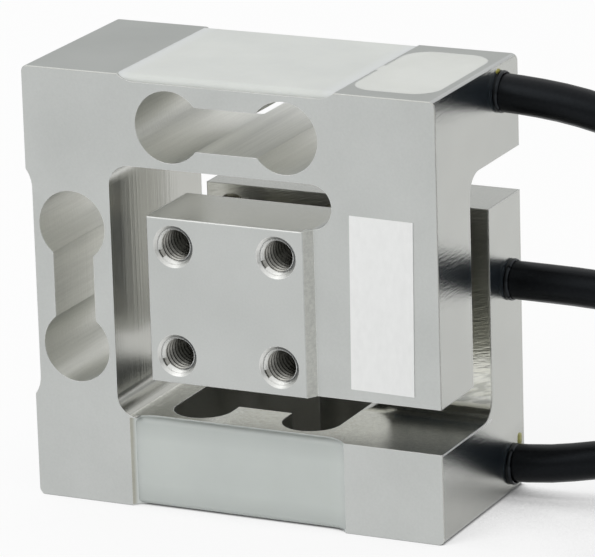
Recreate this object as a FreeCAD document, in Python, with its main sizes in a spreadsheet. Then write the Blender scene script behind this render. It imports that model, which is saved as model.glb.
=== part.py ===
import FreeCAD, Part
import Sketcher
import math
import os
import re

# Three-axis force sensor cut from one block of aluminium, in millimetres.
# X runs along the front to the right, Y to the back, Z up. The origin is under the middle of the block.
# A top arm, a left arm and a lower arm follow each other round the block, and each bends in one direction.
# The front platform hangs from the right end of the top arm.
# The rear platform stands on the right end of the lower arm.

SIZES = {
    # the block and its three arms
    "body_width": 60.0,
    "body_height": 60.0,
    "body_depth": 27.0,
    "arm_width": 12.5,
    "corner_round": 0.9,
    "edge_break": 0.15,
    # the slots that free the platforms
    "slot_gap": 6.15,
    "layer_gap": 6.0,
    "cutter_radius": 3.0,
    "end_block_width": 15.0,
    # the platforms and their tapped holes
    "pad_proud": 1.5,
    "pad_slope": 0.96,
    "pad_chamfer": 0.12,
    "hole_edge": 3.85,
    "hole_diameter": 5.0,
    "hole_mouth_diameter": 5.8,
    # the bone-shaped holes through the top and left arms
    "lobe_radius": 4.9,
    "lobe_spacing": 16.7,
    "lobe_inset": 6.7,
    "lobe_slot_width": 6.0,
    # the hole through the lower arm
    "lower_lobe_width": 8.2,
    "lower_lobe_spacing": 16.1,
    "lower_lobe_reach": 21.3,
    "lower_slot_width": 8.5,
    # the shallow recesses for the strain gauges
    "recess_length": 31.6,
    "recess_depth": 0.93,
    "lower_recess_depth": 1.9,
    "recess_end_radius": 4.2,
    "sealant_inset": 0.15,
    "left_sealant_inset": 2.2,
    "sealant_round": 0.75,
    "lower_sealant_sink": 0.7,
    "sealant_climb_radius": 5.0,
    # the strain gauges
    "gauge_length": 6.0,
    "gauge_width": 4.0,
    "gauge_thickness": 0.1,
    "gauge_pair_spacing": 10.0,
    "lower_gauge_height": 6.2,
    # the wiring pocket beside the top recess
    "pocket_land": 0.4,
    "pocket_width": 21.2,
    "pocket_corner": 3.6,
    "pocket_depth": 7.0,
    "pocket_wall": 1.8,
    "wire_notch_width": 2.4,
    "wire_notch_y": 0.6,
    "board_length": 8.0,
    "board_width": 12.0,
    "board_thickness": 1.0,
    "board_y": -3.5,
    # the cables where they leave the right side
    "cable_diameter": 5.2,
    "cable_clearance": 0.1,
    "cable_bore_depth": 6.0,
    "cable_in_pocket": 2.2,
    "bead_diameter": 5.5,
    "bead_length": 0.7,
    "bead_round": 0.6,
    "top_exit_y": 7.6,
    "top_exit_below": 3.75,
    "middle_exit_y": 10.0,
    "middle_exit_z": 29.85,
    "lower_exit_y": 9.65,
    "lower_exit_z": 4.05,
    # the put-away coils, their ties and the bare leads at the far ends
    "coil_x": 90.5,
    "coil_y": -14.0,
    "coil_mean_diameter": 52.0,
    "coil_columns": 3,
    "coil_layers": 4,
    "coil_count": 3,
    "tie_width": 12.0,
    "tie_thickness": 0.8,
    "lead_diameter": 1.1,
    "lead_pitch": 1.4,
    # the blank label on the front
    "label_width": 9.05,
    "label_height": 23.65,
    "label_thickness": 0.1,
    "label_inset": 8.1,
    "label_rise": 1.93,
    "label_tilt": 0.8,
}

# How far right of the block's middle each cable runs straight, and its free route from there to its coil,
# as points (x, y, z) chosen by eye.
STRAIGHT_TO = 33.0
TOP_ROUTE = [
    (44.5, 7.8, 54.65),
    (56.5, 9.4, 49.8),
    (67.5, 12.5, 45.9),
    (78.0, 15.6, 45.05),
    (88.0, 16.2, 45.5),
]
MIDDLE_ROUTE = [
    (45.5, 10.2, 29.6),
    (58.0, 11.7, 26.6),
    (69.5, 14.2, 24.6),
    (79.5, 16.1, 24.25),
    (89.0, 16.4, 24.7),
]
LOWER_ROUTE = [
    (43.5, 11.9, 5.7),
    (55.5, 16.1, 6.5),
    (67.5, 18.4, 4.4),
    (79.0, 17.6, 3.9),
    (88.5, 15.8, 4.3),
]

# The lead colours, and the way each lead hangs inside the coil from the end of its cable.
LEAD_COLOURS = ["red", "black", "green", "white"]
LEAD_START_ANGLE = 75.0
LEAD_DROP = 15.0
LEAD_BEND = 4.0
# How far a cutting profile runs past the face that it opens.
OVERRUN = 2.0
# Where the straps go round the stack of coils, in degrees.
TIE_ANGLES = [45.0, 165.0, 285.0]
# The share of the shorter run that each bend of a tube takes up, and how exact its volume has to be.
BEND_SHARE = 0.45
VOLUME_SLACK = 0.002
# Two lengths closer than this count as the same.
SAME_PLACE = 1e-4

doc = FreeCAD.newDocument("force_sensor")
sheet = doc.addObject("Spreadsheet::Sheet", "Dims")
for row, (alias, size) in enumerate(SIZES.items(), start=1):
    sheet.set(f"A{row}", alias)
    sheet.set(f"B{row}", str(size))
    sheet.setAlias(f"B{row}", alias)
doc.recompute()

nodes = []


def bound(text):
    """The expression text with each size's name pointing at its cell."""
    return re.sub(r"[a-z]+(?:_[a-z]+)+", lambda word: "Dims." + word.group(), str(text))


def value(text):
    """What the expression text comes to with the sheet's sizes."""
    return float(sheet.evalExpression(bound(text)))


def bind(thing, **properties):
    """Bind properties to expression texts; two underscores in a name stand for a dot."""
    for name, text in properties.items():
        thing.setExpression(name.replace("__", "."), bound(text))


def place(thing, x="0", y="0", z="0"):
    bind(thing, Placement__Base__x=x, Placement__Base__y=y, Placement__Base__z=z)


def keep(thing, label):
    """Take a finished sub-part into the list of nodes."""
    thing.Label = label
    nodes.append(thing)
    return thing


def new_body(name):
    return doc.addObject("PartDesign::Body", name)


def new_sketch(body, name, role, offset="0"):
    """A sketch on one of the body's own origin planes, moved along the plane's normal."""
    sketch = body.newObject("Sketcher::SketchObject", name)
    plane = next(f for f in body.Origin.OriginFeatures if f.Role == role)
    sketch.AttachmentSupport = [(plane, "")]
    sketch.MapMode = "FlatFace"
    bind(sketch, AttachmentOffset__Base__z=offset)
    return sketch


def dimension(sketch, kind, geometry, point, text):
    """Hold a point's X or Y from the sketch's origin at an expression."""
    number = sketch.addConstraint(Sketcher.Constraint(kind, -1, 1, geometry, point, value(text)))
    sketch.setExpression(f"Constraints[{number}]", bound(text))


def size_of(sketch, kind, geometry, text):
    """Hold a radius or a diameter at an expression."""
    number = sketch.addConstraint(Sketcher.Constraint(kind, geometry, value(text)))
    sketch.setExpression(f"Constraints[{number}]", bound(text))


def arc_between(start, end, radius):
    """The short arc from start to end: anticlockwise if the radius is positive."""
    chord = end - start
    lift = math.sqrt(max(radius ** 2 - (chord.Length / 2) ** 2, 0.0))
    side = FreeCAD.Vector(-chord.y, chord.x, 0).normalize() * math.copysign(lift, radius)
    centre = (start + end) * 0.5 + side
    first, last = (start, end) if radius > 0 else (end, start)
    circle = Part.Circle(centre, FreeCAD.Vector(0, 0, 1), abs(radius))
    return Part.ArcOfCircle(circle, circle.parameter(first), circle.parameter(last))


def outline(sketch, corners):
    """A closed outline. Each corner is (x, y), or (x, y, turn, radius) where an arc leads to the next corner.

    The turn is +1 for an anticlockwise arc and -1 for a clockwise one.
    """
    points = [FreeCAD.Vector(value(c[0]), value(c[1]), 0) for c in corners]
    ends = []
    for number, corner in enumerate(corners):
        start, end = points[number], points[(number + 1) % len(points)]
        if len(corner) == 2:
            geometry = sketch.addGeometry(Part.LineSegment(start, end))
            ends.append((geometry, 1, 2))
            continue
        geometry = sketch.addGeometry(arc_between(start, end, corner[2] * value(corner[3])))
        size_of(sketch, "Radius", geometry, corner[3])
        ends.append((geometry, 1, 2) if corner[2] > 0 else (geometry, 2, 1))
    for number, corner in enumerate(corners):
        before, now = ends[number - 1], ends[number]
        sketch.addConstraint(Sketcher.Constraint("Coincident", before[0], before[2], now[0], now[1]))
        dimension(sketch, "DistanceX", now[0], now[1], corner[0])
        dimension(sketch, "DistanceY", now[0], now[1], corner[1])


def rounded(corners):
    """Corners of an upright outline, each (x, y) or (x, y, radius), with quarter arcs at the rounded ones."""
    made = []
    points = [FreeCAD.Vector(value(c[0]), value(c[1]), 0) for c in corners]
    for number, corner in enumerate(corners):
        if len(corner) == 2:
            made.append(corner)
            continue
        x, y, radius = corner
        before = (points[number] - points[number - 1]).normalize()
        after = (points[(number + 1) % len(points)] - points[number]).normalize()
        turn = 1 if before.cross(after).z > 0 else -1
        into = [round(before.x), round(before.y)]
        away = [round(after.x), round(after.y)]
        made.append((f"{x} - {into[0]} * {radius}", f"{y} - {into[1]} * {radius}", turn, radius))
        made.append((f"{x} + {away[0]} * {radius}", f"{y} + {away[1]} * {radius}"))
    return made


def rectangle(x_low, x_high, y_low, y_high):
    return [(x_low, y_low), (x_high, y_low), (x_high, y_high), (x_low, y_high)]


def circles(sketch, centres, diameter):
    for x, y in centres:
        centre = FreeCAD.Vector(value(x), value(y), 0)
        geometry = sketch.addGeometry(Part.Circle(centre, FreeCAD.Vector(0, 0, 1), value(diameter) / 2))
        size_of(sketch, "Diameter", geometry, diameter)
        dimension(sketch, "DistanceX", geometry, 3, x)
        dimension(sketch, "DistanceY", geometry, 3, y)


def pad(body, sketch, length, both_ways=False, back=False):
    feature = body.newObject("PartDesign::Pad", sketch.Name + "_pad")
    feature.Profile = sketch
    feature.SideType = "Symmetric" if both_ways else "One side"
    feature.Reversed = back
    bind(feature, Length=length)
    return feature


def pocket(body, sketch, length, both_ways=False, back=False):
    """A cut that has to take metal away. It runs against the sketch's normal, or along it if back is set."""
    doc.recompute()
    before = body.Shape.Volume
    feature = body.newObject("PartDesign::Pocket", sketch.Name + "_cut")
    feature.Profile = sketch
    feature.SideType = "Symmetric" if both_ways else "One side"
    feature.Reversed = back
    bind(feature, Length=length)
    doc.recompute()
    if not body.Shape.Volume < before:
        raise ValueError(f"{feature.Name} cuts nothing")
    return feature


def dress(body, kind, name, edges, **sizes):
    """A fillet or a chamfer on the chosen edges of the body as it stands."""
    doc.recompute()
    base = body.Tip
    names = [f"Edge{n}" for n, edge in enumerate(base.Shape.Edges, start=1) if edges(edge)]
    if not names:
        raise ValueError(f"{name} finds no edge")
    feature = body.newObject("PartDesign::" + kind, name)
    feature.Base = (base, names)
    bind(feature, **sizes)
    return feature


def revolve(body, sketch, axis, angle=360.0, middle=False):
    feature = body.newObject("PartDesign::Revolution", sketch.Name + "_turned")
    feature.Profile = sketch
    feature.ReferenceAxis = (sketch, [axis])
    feature.Angle = angle
    feature.Midplane = middle
    return feature


def boolean(kind, name, base, tool):
    feature = doc.addObject("Part::" + kind, name)
    feature.Base = base
    feature.Tool = tool
    return feature


def group(name, members):
    feature = doc.addObject("Part::Compound", name)
    feature.Links = members
    return feature


def box(name, length, width, height, x, y, z):
    """A box placed by its lowest corner."""
    feature = doc.addObject("Part::Box", name)
    bind(feature, Length=length, Width=width, Height=height)
    place(feature, x, y, z)
    return feature


# Places that several pieces share, as expressions of the sizes.
RIGHT = "body_width / 2"
LEFT = "-body_width / 2"
WINDOW_LEFT = "-(body_width / 2 - arm_width)"
WINDOW_TOP = "body_height - arm_width"
WINDOW_FLOOR = "arm_width"
PLATFORM_LEFT = "-(body_width / 2 - arm_width - slot_gap)"
PLATFORM_RIGHT = "body_width / 2 - arm_width - slot_gap"
PLATFORM_TOP = "body_height - arm_width - slot_gap"
PLATFORM_BOTTOM = "arm_width + slot_gap"
SLOT_END = "body_width / 2 - end_block_width"
MIDDLE_Z = "body_height / 2"
FRONT = "-body_depth / 2"
BACK = "body_depth / 2"
HALF_LAYER = "layer_gap / 2"
FULL_DEPTH = "body_depth + 2 * pad_proud"
POCKET_RIGHT = "body_width / 2 - pocket_wall"
POCKET_LEFT = "(recess_length / 2 + pocket_land)"
POCKET_FLOOR = "body_height - pocket_depth"
TOP_EXIT_Z = "body_height - top_exit_below"


def end_run(rise, radius="recess_end_radius"):
    """How far an arc that leaves a flat floor runs along it while it climbs by the rise."""
    return f"sqrt({rise} * (2 * {radius} - {rise}))"


def recess_flat(depth):
    """Half the length of a recess's flat floor, between its rounded ends."""
    return f"(recess_length / 2 - {end_run(depth)})"


def recess_profile(mouth, depth, outward, middle="0"):
    """The section of a recess: flat floor, rounded ends, open past the mouth. Along is x, depth is y."""
    flat = recess_flat(depth)
    floor = f"{mouth} - ({outward}) * {depth}"
    beyond = f"{mouth} + ({outward}) * {OVERRUN}"
    return [
        (f"{middle} - recess_length / 2", mouth, outward, "recess_end_radius"),
        (f"{middle} - {flat}", floor),
        (f"{middle} + {flat}", floor, outward, "recess_end_radius"),
        (f"{middle} + recess_length / 2", mouth),
        (f"{middle} + recess_length / 2", beyond),
        (f"{middle} - recess_length / 2", beyond),
    ]


def swapped(corners):
    """The same outline with its two directions exchanged, so that arcs turn the other way."""
    return [(c[1], c[0]) + ((-c[2], c[3]) if len(c) == 4 else ()) for c in corners]


def near(a, b):
    return abs(a - b) < SAME_PLACE


def build_block(body):
    face = new_sketch(body, "block", "XZ_Plane")
    outline(face, rectangle(LEFT, RIGHT, "0", "body_height"))
    pad(body, face, "body_depth", both_ways=True)

    def at_corner(edge):
        return near(edge.BoundBox.XLength, 0) and near(edge.BoundBox.ZLength, 0)

    def at_rim(edge):
        return near(edge.BoundBox.YLength, 0)

    dress(body, "Fillet", "block_corners", at_corner, Radius="corner_round")
    dress(body, "Fillet", "block_rims", at_rim, Radius="edge_break")

    pads = new_sketch(body, "platform_pads", "XY_Plane", PLATFORM_BOTTOM)
    foot = f"{PLATFORM_RIGHT} + pad_slope"
    outline(pads, [
        (PLATFORM_LEFT, f"{FRONT} - pad_proud"),
        (PLATFORM_RIGHT, f"{FRONT} - pad_proud"),
        (foot, FRONT),
        (foot, BACK),
        (PLATFORM_RIGHT, f"{BACK} + pad_proud"),
        (PLATFORM_LEFT, f"{BACK} + pad_proud"),
    ])
    pad(body, pads, f"{PLATFORM_TOP} - ({PLATFORM_BOTTOM})")

    def at_pad_rim(edge):
        box_of = edge.BoundBox
        return near(box_of.YLength, 0) and near(abs(box_of.YMin), value(BACK) + value("pad_proud"))

    dress(body, "Chamfer", "pad_rims", at_pad_rim, Size="pad_chamfer")


def cut_slots(body):
    step = new_sketch(body, "stepped_slot", "YZ_Plane", f"{PLATFORM_LEFT} - slot_gap / 2")
    outline(step, rounded([
        (f"-{HALF_LAYER}", WINDOW_TOP, "cutter_radius"),
        (f"-{HALF_LAYER}", PLATFORM_BOTTOM),
        (f"{FRONT} - {OVERRUN}", PLATFORM_BOTTOM),
        (f"{FRONT} - {OVERRUN}", WINDOW_FLOOR),
        (HALF_LAYER, WINDOW_FLOOR, "cutter_radius"),
        (HALF_LAYER, PLATFORM_TOP),
        (f"{BACK} + {OVERRUN}", PLATFORM_TOP),
        (f"{BACK} + {OVERRUN}", WINDOW_TOP),
    ]))
    pocket(body, step, f"body_width + {OVERRUN}", back=True)

    upper = new_sketch(body, "front_slot", "XZ_Plane")
    outline(upper, rounded([
        (WINDOW_LEFT, WINDOW_FLOOR, "cutter_radius"),
        (PLATFORM_LEFT, WINDOW_FLOOR),
        (PLATFORM_LEFT, PLATFORM_TOP),
        (SLOT_END, PLATFORM_TOP, "cutter_radius"),
        (SLOT_END, WINDOW_TOP, "cutter_radius"),
        (WINDOW_LEFT, WINDOW_TOP, "cutter_radius"),
    ]))
    pocket(body, upper, FULL_DEPTH, back=True)

    lower = new_sketch(body, "rear_slot", "XZ_Plane")
    outline(lower, rounded([
        (WINDOW_LEFT, WINDOW_FLOOR, "cutter_radius"),
        (SLOT_END, WINDOW_FLOOR, "cutter_radius"),
        (SLOT_END, PLATFORM_BOTTOM, "cutter_radius"),
        (PLATFORM_LEFT, PLATFORM_BOTTOM),
        (PLATFORM_LEFT, WINDOW_TOP),
        (WINDOW_LEFT, WINDOW_TOP, "cutter_radius"),
    ]))
    pocket(body, lower, FULL_DEPTH)


def cut_arms(body):
    top_z = "body_height - lobe_inset"
    left_x = f"{LEFT} + lobe_inset"
    lobes = new_sketch(body, "bone_lobes", "XZ_Plane")
    circles(lobes, [
        ("-lobe_spacing / 2", top_z),
        ("lobe_spacing / 2", top_z),
        (left_x, f"{MIDDLE_Z} - lobe_spacing / 2"),
        (left_x, f"{MIDDLE_Z} + lobe_spacing / 2"),
    ], "2 * lobe_radius")
    pocket(body, lobes, FULL_DEPTH, both_ways=True)

    necks = new_sketch(body, "bone_necks", "XZ_Plane")
    half = "lobe_slot_width / 2"
    outline(necks, rectangle(
        "-lobe_spacing / 2", "lobe_spacing / 2",
        f"{top_z} - {half}", f"{top_z} + {half}",
    ))
    outline(necks, rectangle(
        f"{left_x} - {half}", f"{left_x} + {half}",
        f"{MIDDLE_Z} - lobe_spacing / 2", f"{MIDDLE_Z} + lobe_spacing / 2",
    ))
    pocket(body, necks, FULL_DEPTH, both_ways=True)

    through = "arm_width + slot_gap / 2"
    end_y = "(lower_lobe_reach / 2 - lower_lobe_width / 2)"
    ends = new_sketch(body, "lower_lobe_ends", "XY_Plane")
    circles(ends, [
        (f"{side} * lower_lobe_spacing / 2", f"{way} * {end_y}") for side in (-1, 1) for way in (-1, 1)
    ], "lower_lobe_width")
    pocket(body, ends, through, back=True)

    inner = "(lower_lobe_spacing / 2 - lower_lobe_width / 2)"
    outer = "(lower_lobe_spacing / 2 + lower_lobe_width / 2)"
    neck_y = "lower_slot_width / 2"
    lower = new_sketch(body, "lower_lobes", "XY_Plane")
    outline(lower, [
        (f"-{outer}", f"-{end_y}"),
        (f"-{inner}", f"-{end_y}"),
        (f"-{inner}", f"-{neck_y}"),
        (inner, f"-{neck_y}"),
        (inner, f"-{end_y}"),
        (outer, f"-{end_y}"),
        (outer, end_y),
        (inner, end_y),
        (inner, neck_y),
        (f"-{inner}", neck_y),
        (f"-{inner}", end_y),
        (f"-{outer}", end_y),
    ])
    pocket(body, lower, through, back=True)


def cut_recesses(body):
    top = new_sketch(body, "top_recess", "XZ_Plane")
    outline(top, recess_profile("body_height", "recess_depth", 1))
    pocket(body, top, FULL_DEPTH, both_ways=True)
    left = new_sketch(body, "left_recess", "XZ_Plane")
    outline(left, swapped(recess_profile(LEFT, "recess_depth", -1, MIDDLE_Z)))
    pocket(body, left, FULL_DEPTH, both_ways=True)
    lower = new_sketch(body, "lower_recesses", "XY_Plane")
    outline(lower, recess_profile(FRONT, "lower_recess_depth", -1))
    outline(lower, recess_profile(BACK, "lower_recess_depth", 1))
    pocket(body, lower, "arm_width", back=True)


def pocket_corners():
    half = "pocket_width / 2"
    return rounded([
        (POCKET_LEFT, f"-{half}", "pocket_corner"),
        (POCKET_RIGHT, f"-{half}", "pocket_corner"),
        (POCKET_RIGHT, half, "pocket_corner"),
        (POCKET_LEFT, half, "pocket_corner"),
    ])


def notch_corners(reach):
    low = "wire_notch_y - wire_notch_width / 2"
    high = "wire_notch_y + wire_notch_width / 2"
    return rectangle(recess_flat("recess_depth"), f"{POCKET_LEFT} + {reach}", low, high)


def cut_wiring(body):
    well = new_sketch(body, "wiring_pocket", "XY_Plane", "body_height")
    outline(well, pocket_corners())
    pocket(body, well, "pocket_depth")
    notch = new_sketch(body, "wire_notch", "XY_Plane", "body_height")
    outline(notch, notch_corners("pocket_corner"))
    pocket(body, notch, "recess_depth")

    bores = new_sketch(body, "cable_bores", "YZ_Plane", RIGHT)
    circles(bores, [
        ("middle_exit_y", "middle_exit_z"),
        ("lower_exit_y", "lower_exit_z"),
    ], "cable_diameter + 2 * cable_clearance")
    pocket(body, bores, "cable_bore_depth")
    top_bore = new_sketch(body, "top_cable_bore", "YZ_Plane", RIGHT)
    circles(top_bore, [("top_exit_y", TOP_EXIT_Z)], "cable_diameter + 2 * cable_clearance")
    pocket(body, top_bore, "pocket_wall + cable_in_pocket")


def tap_platforms(body):
    """Four tapped holes through each platform, with a countersunk mouth."""
    columns = (f"{PLATFORM_LEFT} + hole_edge", f"{PLATFORM_RIGHT} - hole_edge")
    rows = (f"{PLATFORM_BOTTOM} + hole_edge", f"{PLATFORM_TOP} - hole_edge")
    centres = [(column, row) for column in columns for row in rows]
    for name, offset, back in (("front_holes", f"{BACK} + pad_proud", False),
                               ("rear_holes", f"{FRONT} - pad_proud", True)):
        sketch = new_sketch(body, name, "XZ_Plane", offset)
        circles(sketch, centres, "hole_diameter")
        doc.recompute()
        before = body.Shape.Volume
        hole = body.newObject("PartDesign::Hole", name + "_drilled")
        hole.Profile = sketch
        doc.recompute()
        hole.DepthType = "Dimension"
        hole.DrillPoint = "Flat"
        hole.HoleCutType = "Countersink"
        hole.HoleCutCustomValues = True
        hole.HoleCutCountersinkAngle = 90.0
        hole.Reversed = back
        bind(hole, Diameter="hole_diameter", HoleCutDiameter="hole_mouth_diameter", Depth=BACK)
        doc.recompute()
        if not body.Shape.Volume < before:
            raise ValueError(f"{name} cuts nothing")


def make_sensor_body():
    body = new_body("SensorBody")
    build_block(body)
    cut_slots(body)
    cut_arms(body)
    cut_recesses(body)
    cut_wiring(body)
    tap_platforms(body)
    return keep(body, "sensor_body")


def gauge_boxes():
    """The foil gauges, in pairs over the thin webs: lists of boxes for the four recesses."""
    half_long = "gauge_length / 2"
    half_wide = "gauge_width / 2"
    floor = "body_height - recess_depth"
    wall = f"{LEFT} + recess_depth"
    sets = {"top": [], "left": [], "lower_front": [], "lower_rear": []}
    for side in (-1, 1):
        for way in (-1, 1):
            across = f"{way} * gauge_pair_spacing / 2 - {half_wide}"
            along = f"{side} * lobe_spacing / 2 - {half_long}"
            name = f"gauge_{'ab'[side > 0]}{'cd'[way > 0]}"
            sets["top"].append(box(
                "top_" + name, "gauge_length", "gauge_width", "gauge_thickness", along, across, floor))
            sets["left"].append(box(
                "left_" + name, "gauge_thickness", "gauge_width", "gauge_length",
                f"{wall} - gauge_thickness", across, f"{MIDDLE_Z} + {along}"))
        along = f"{side} * lower_lobe_spacing / 2 - {half_long}"
        height = f"lower_gauge_height - {half_wide}"
        name = f"gauge_{'ab'[side > 0]}"
        sets["lower_front"].append(box(
            "lower_front_" + name, "gauge_length", "gauge_thickness", "gauge_width",
            along, f"{FRONT} + lower_recess_depth - gauge_thickness", height))
        sets["lower_rear"].append(box(
            "lower_rear_" + name, "gauge_length", "gauge_thickness", "gauge_width",
            along, f"{BACK} - lower_recess_depth", height))
    return sets


def make_gauges():
    return {
        where: keep(group(where + "_gauges", boxes), where + "_strain_gauges")
        for where, boxes in gauge_boxes().items()
    }


def fill_profile(mouth, depth, outward, middle="0"):
    """The section of the silicone that fills a recess level with the faces beside it."""
    return recess_profile(mouth, depth, outward, middle)[:4]


def sunk_profile(mouth, depth, sink, outward):
    """The section of a silicone fill that lies below the faces beside it, but climbs to the right one."""
    flat = recess_flat(depth)
    left = f"-({flat} + {end_run(f'({depth} - {sink})')})"
    climb = f"(recess_length / 2 - {end_run(sink, 'sealant_climb_radius')})"
    floor = f"{mouth} - ({outward}) * {depth}"
    face = f"{mouth} - ({outward}) * {sink}"
    return [
        (left, face, outward, "recess_end_radius"),
        (f"-{flat}", floor),
        (flat, floor, outward, "recess_end_radius"),
        ("recess_length / 2", mouth, -outward, "sealant_climb_radius"),
        (climb, face),
    ]


def round_rims(body, name, is_rim):
    dress(body, "Fillet", name, is_rim, Radius="sealant_round")


def make_top_sealant(gauges):
    body = new_body("TopSealant")
    sketch = new_sketch(body, "top_fill", "XZ_Plane")
    outline(sketch, fill_profile("body_height", "recess_depth", 1))
    pad(body, sketch, "body_depth - 2 * sealant_inset", both_ways=True)
    round_rims(body, "top_fill_rims", lambda edge: (
        near(edge.BoundBox.ZMin, value("body_height")) and near(edge.BoundBox.YLength, 0)))
    return keep(boolean("Cut", "TopSealantCut", body, gauges["top"]), "top_gauge_sealant")


def make_left_sealant(gauges):
    body = new_body("LeftSealant")
    sketch = new_sketch(body, "left_fill", "XZ_Plane")
    outline(sketch, swapped(fill_profile(LEFT, "recess_depth", -1, MIDDLE_Z)))
    pad(body, sketch, "body_depth - 2 * left_sealant_inset", both_ways=True)
    round_rims(body, "left_fill_rims", lambda edge: (
        near(edge.BoundBox.XMax, value(LEFT)) and near(edge.BoundBox.YLength, 0)))
    return keep(boolean("Cut", "LeftSealantCut", body, gauges["left"]), "left_gauge_sealant")


def make_lower_sealant(where, mouth, outward, gauges):
    body = new_body(where.title().replace("_", "") + "Sealant")
    sketch = new_sketch(body, where + "_fill", "XY_Plane", "sealant_inset")
    outline(sketch, sunk_profile(mouth, "lower_recess_depth", "lower_sealant_sink", outward))
    pad(body, sketch, "arm_width - 2 * sealant_inset")
    face_y = value(f"{mouth} - ({outward}) * lower_sealant_sink")
    round_rims(body, where + "_fill_rims", lambda edge: (
        near(edge.BoundBox.YMin, face_y) and near(edge.BoundBox.YMax, face_y)
        and near(edge.BoundBox.ZLength, 0)))
    return keep(boolean("Cut", where + "_sealant_cut", body, gauges[where]), where + "_gauge_sealant")


def make_terminal_board():
    x = f"({POCKET_LEFT} + {POCKET_RIGHT}) / 2 - board_length / 2"
    board = box("board", "board_length", "board_width", "board_thickness",
                x, "board_y - board_width / 2", POCKET_FLOOR)
    return keep(board, "terminal_board")


def make_pocket_sealant(top_sealant, board, cable):
    """Silicone round the board and the cable's end, with a tongue through the wire notch."""
    body = new_body("PocketSealant")
    well = new_sketch(body, "pocket_fill", "XY_Plane", POCKET_FLOOR)
    outline(well, pocket_corners())
    pad(body, well, "pocket_depth")
    tongue = new_sketch(body, "notch_fill", "XY_Plane", "body_height")
    outline(tongue, notch_corners("pocket_corner"))
    pad(body, tongue, "recess_depth", back=True)
    inside = group("pocket_contents", [board, cable])
    cut = boolean("Cut", "PocketSealantRoom", body, inside)
    return keep(boolean("Cut", "PocketSealantCut", cut, top_sealant), "wiring_pocket_sealant")


def tube(points, diameter):
    """A round tube along straight runs with the largest tangent arcs that they allow, and its bend radii."""
    points = [FreeCAD.Vector(*p) for p in points]
    edges, radii = [], []
    last = points[0]
    for before, corner, after in zip(points, points[1:], points[2:]):
        into = (corner - before).normalize()
        away = (after - corner).normalize()
        reach = BEND_SHARE * min((corner - before).Length, (after - corner).Length)
        half_turn = into.getAngle(away) / 2
        radius = reach / math.tan(half_turn)
        radii.append(radius)
        start = corner - into * reach
        end = corner + away * reach
        inward = (away - into).normalize()
        middle = corner + inward * (radius / math.cos(half_turn) - radius)
        edges.append(Part.LineSegment(last, start).toShape())
        edges.append(Part.Arc(start, middle, end).toShape())
        last = end
    edges.append(Part.LineSegment(last, points[-1]).toShape())
    path = Part.Wire(edges)
    heading = (points[1] - points[0]).normalize()
    profile = Part.Wire(Part.makeCircle(diameter / 2, points[0], heading))
    solid = path.makePipeShell([profile], True, False)
    ideal = math.pi * diameter ** 2 / 4 * path.Length
    if abs(solid.Volume - ideal) > VOLUME_SLACK * ideal:
        raise ValueError("a tube's volume is not its section times its length")
    return solid, radii, path.Length


def make_tube(name, points):
    feature = doc.addObject("Part::Feature", name)
    feature.Shape, radii, length = tube(points, value("cable_diameter"))
    print(name, "radii", [round(r) for r in radii], "length", round(length, 1))
    return feature


def make_bead(name, y, z, cable):
    """A bead of black potting round a cable where it leaves the block."""
    body = new_body(name + "_blank")
    sketch = new_sketch(body, name + "_section", "XY_Plane")
    outer = "bead_diameter / 2"
    outline(sketch, [
        ("0", "0"),
        ("bead_length", "0"),
        ("bead_length", "cable_diameter / 2 + cable_clearance", 1, "bead_round"),
        ("0", outer),
    ])
    revolve(body, sketch, "H_Axis")
    place(body, RIGHT, y, z)
    return keep(boolean("Cut", name + "_round_cable", body, cable), name)


def coil_half():
    return "(coil_columns * cable_diameter / 2)"


def coil_height():
    return "(coil_layers * cable_diameter)"


def make_coil(name, level):
    """The outer shape of one wound-up cable, standing on the coils and ties under it."""
    body = new_body(name)
    sketch = new_sketch(body, name + "_section", "XZ_Plane")
    inner = f"coil_mean_diameter / 2 - {coil_half()}"
    outer = f"coil_mean_diameter / 2 + {coil_half()}"
    corner = "cable_diameter / 2"
    outline(sketch, rounded([
        (inner, "0", corner),
        (outer, "0", corner),
        (outer, coil_height(), corner),
        (inner, coil_height(), corner),
    ]))
    revolve(body, sketch, "V_Axis")
    place(body, "coil_x", "coil_y", f"tie_thickness + {level} * {coil_height()}")
    return keep(body, name)


def make_tie(number, angle):
    """A strap round the whole stack of coils."""
    body = new_body(f"Tie{number}")
    sketch = new_sketch(body, f"tie_section_{number}", "XZ_Plane")
    inner = f"coil_mean_diameter / 2 - {coil_half()}"
    outer = f"coil_mean_diameter / 2 + {coil_half()}"
    top = f"tie_thickness + coil_count * {coil_height()}"
    corner = "cable_diameter / 2"
    outline(sketch, rounded([
        (f"{inner} - tie_thickness", "0", corner),
        (f"{outer} + tie_thickness", "0", corner),
        (f"{outer} + tie_thickness", f"{top} + tie_thickness", corner),
        (f"{inner} - tie_thickness", f"{top} + tie_thickness", corner),
    ]))
    outline(sketch, rectangle(inner, outer, "tie_thickness", top))
    strap = revolve(body, sketch, "V_Axis", middle=True)
    bind(strap, Angle=f"tie_width / ({outer}) * 180 / pi")
    place(body, "coil_x", "coil_y")
    bind(body, Placement__Rotation__Angle=angle)
    return keep(body, f"coil_tie_{number}")


def make_cable(name, y, z, depth, route, coil):
    """A cable from its seat in the block to its coil."""
    seat = (value(RIGHT) - value(depth), value(y), value(z))
    bend = (STRAIGHT_TO, value(y), value(z))
    whole = make_tube(name + "_run", [seat, bend] + route)
    return keep(boolean("Cut", name + "_to_coil", whole, coil), name)


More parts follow.
